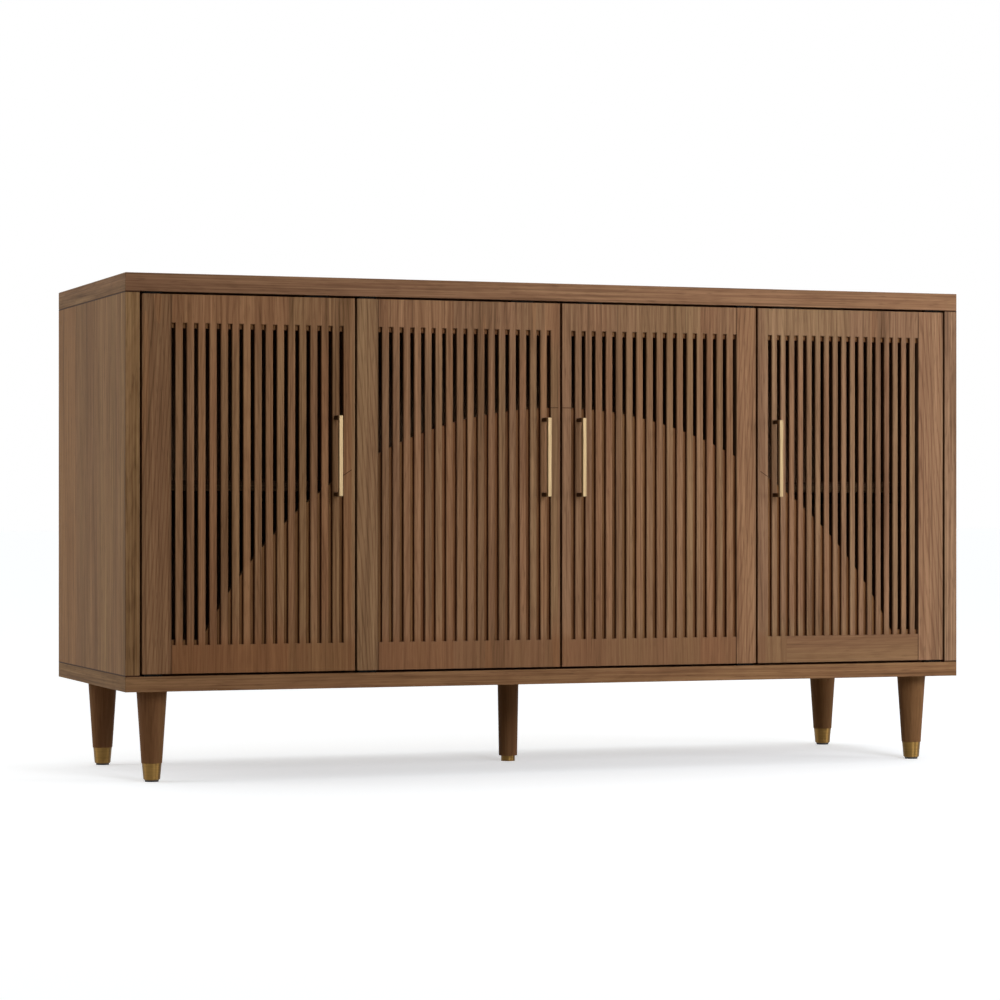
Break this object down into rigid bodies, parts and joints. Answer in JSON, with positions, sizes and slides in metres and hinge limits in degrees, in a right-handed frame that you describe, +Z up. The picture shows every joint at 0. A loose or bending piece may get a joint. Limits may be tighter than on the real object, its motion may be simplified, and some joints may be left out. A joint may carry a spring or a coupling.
{
  "type": "sideboard buffet",
  "caption": "Walnut sideboard buffet with slotted inset doors, an arch swept across the fronts, bar pulls, shelves inside and turned legs on brass ferrules.",
  "frame": {"origin": "on the floor under the middle of the whole object, pulls included", "axes": "+X to the right as seen from the front, -Y out of the doors, +Z up"},
  "size_m": [1.524, 0.55, 0.838],
  "materials": {
    "walnut_veneer": "satin lacquer",
    "walnut_solid": "satin lacquer",
    "walnut_back_board": "matt lacquer",
    "plywood": "raw",
    "brass": "satin",
    "black_nylon": "matt",
    "blackened_steel": "satin",
    "steel": "zinc plated"
  },
  "bodies": {
    "carcass": {"top_panel": "walnut_veneer", "bottom_panel": "walnut_veneer", "side_left": "walnut_veneer", "side_right": "walnut_veneer", "divider_left": "walnut_veneer", "divider_right": "walnut_veneer", "shelf_left": "walnut_veneer", "shelf_centre": "walnut_veneer", "shelf_right": "walnut_veneer", "back_panel": "walnut_back_board", "carcass_splines": "plywood", "shelf_cleats": "walnut_solid", "legs": "walnut_solid", "ferrules": "brass", "glides": "black_nylon", "hinge_case_leaves": "blackened_steel", "catch_housings": "black_nylon", "catch_magnets": "steel"},
    "door_1": {"door_1_stile": "walnut_veneer", "door_1_slats": "walnut_veneer", "door_1_backing": "walnut_veneer", "door_1_hinge_leaves": "blackened_steel", "door_1_pull": "brass", "door_1_strike": "steel"},
    "door_2": {"door_2_stile": "walnut_veneer", "door_2_slats": "walnut_veneer", "door_2_backing": "walnut_veneer", "door_2_hinge_leaves": "blackened_steel", "door_2_pull": "brass", "door_2_strike": "steel"},
    "door_3": {"door_3_stile": "walnut_veneer", "door_3_slats": "walnut_veneer", "door_3_backing": "walnut_veneer", "door_3_hinge_leaves": "blackened_steel", "door_3_pull": "brass", "door_3_strike": "steel"},
    "door_4": {"door_4_stile": "walnut_veneer", "door_4_slats": "walnut_veneer", "door_4_backing": "walnut_veneer", "door_4_hinge_leaves": "blackened_steel", "door_4_pull": "brass", "door_4_strike": "steel"}
  },
  "joints": [
    {"name": "door_1_swing", "type": "hinge", "parent": "carcass", "child": "door_1", "pos_m": [-0.71, -0.235, 0.4925], "axis": [0, 0, -1], "range_deg": [0, 100]},
    {"name": "door_2_swing", "type": "hinge", "parent": "carcass", "child": "door_2", "pos_m": [-0.342, -0.235, 0.4925], "axis": [0, 0, -1], "range_deg": [0, 100]},
    {"name": "door_3_swing", "type": "hinge", "parent": "carcass", "child": "door_3", "pos_m": [0.342, -0.235, 0.4925], "axis": [0, 0, 1], "range_deg": [0, 100]},
    {"name": "door_4_swing", "type": "hinge", "parent": "carcass", "child": "door_4", "pos_m": [0.71, -0.235, 0.4925], "axis": [0, 0, 1], "range_deg": [0, 100]}
  ]
}
